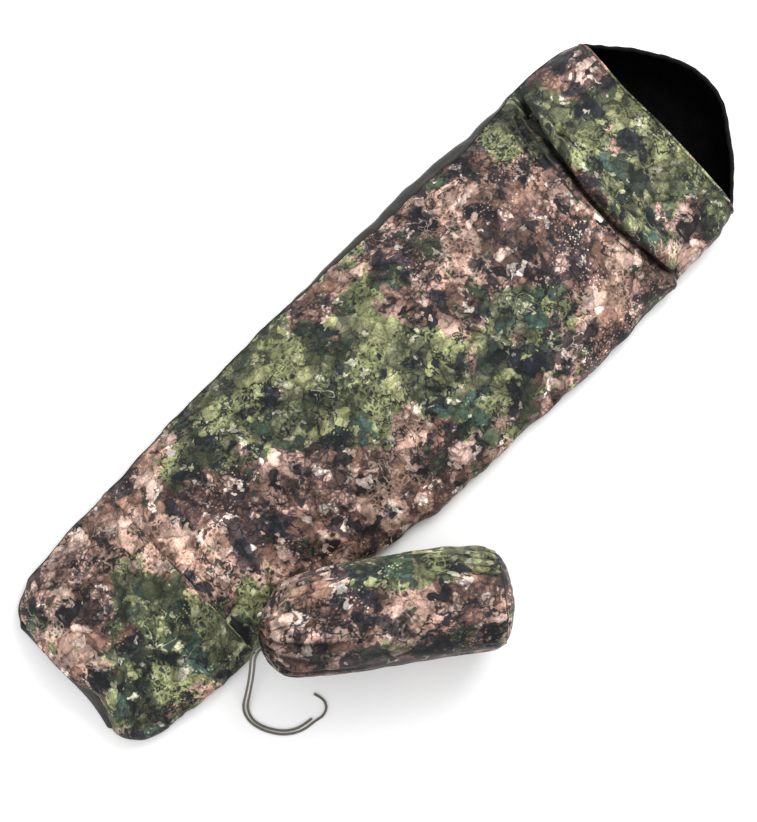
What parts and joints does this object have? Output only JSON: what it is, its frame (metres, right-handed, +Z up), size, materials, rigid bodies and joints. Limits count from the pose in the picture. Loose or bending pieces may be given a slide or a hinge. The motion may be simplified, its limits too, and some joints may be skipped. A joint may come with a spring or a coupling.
{
  "type": "bivy sack",
  "caption": "Laid-out camouflage bivy bag with hood bowl and storm-flapped chest zip, beside its filled drawcord stuff sack.",
  "frame": {"origin": "on the ground, under the middle of the bag's length and width", "axes": "+Y from the foot to the head, +X to the bag's right (the stuff sack's side), +Z up"},
  "size_m": [0.9913, 2.204, 0.2996],
  "materials": {
    "camo_fabric": "waterproof-breathable laminate, woodland print in olive, green, brown and tan",
    "ground_fabric": "plain dark grey-olive coated fabric",
    "hood_black": "plain matt black fabric",
    "binding": "dark grey woven binding tape",
    "zip_tape": "dark woven zip tape",
    "zip_coil": "dark nylon coil",
    "zip_metal": "black coated metal",
    "cord": "braided olive-grey cord, ends sealed",
    "filling": "packed soft contents, not seen"
  },
  "bodies": {
    "bag": {"ground_sheet": "ground_fabric", "top_panel": "camo_fabric", "foot_panel": "camo_fabric", "foot_seam_tape": "camo_fabric", "left_side_seam": "binding", "right_side_seam": "binding", "hood_band": "camo_fabric", "mouth_hem": "camo_fabric", "hood_shell": "ground_fabric", "hood_lining": "hood_black", "hood_rim_binding": "binding", "zip_tape_lower": "zip_tape", "zip_tape_upper": "zip_tape", "zip_coil_lower": "zip_coil", "zip_coil_upper": "zip_coil", "zip_stop_left": "zip_metal", "zip_stop_right": "zip_metal", "flap_seam": "camo_fabric"},
    "flap": {"storm_flap": "camo_fabric", "flap_hem": "camo_fabric"},
    "slider": {"zip_slider": "zip_metal"},
    "pull": {"zip_pull": "zip_metal"},
    "stuff_sack": {"sack_body": "camo_fabric", "sack_end_disc": "camo_fabric", "sack_end_seam": "camo_fabric", "sack_filling": "filling", "sack_mouth_channel": "camo_fabric", "channel_cord": "cord", "cord_eyelet": "zip_metal", "drawcord_long": "cord", "drawcord_short": "cord"}
  },
  "joints": [
    {"name": "flap_lift", "type": "hinge", "parent": "bag", "child": "flap", "pos_m": [0, 0.7425, 0.1721], "axis": [-1, 0, 0], "range_deg": [0, 150]},
    {"name": "zip_slide", "type": "hinge", "parent": "bag", "child": "slider", "pos_m": [0, 0.7, -0.47887], "axis": [0, 1, 0], "range_deg": [0, 39.33]},
    {"name": "zip_pull_swing", "type": "hinge", "parent": "slider", "child": "pull", "pos_m": [-0.21746, 0.7, 0.12961], "axis": [0, -1, 0], "range_deg": [0, 18]},
    {"name": "sack_lift", "type": "slide", "parent": "bag", "child": "stuff_sack", "axis": [0, 0, 1], "range_m": [0, 0.5]}
  ]
}
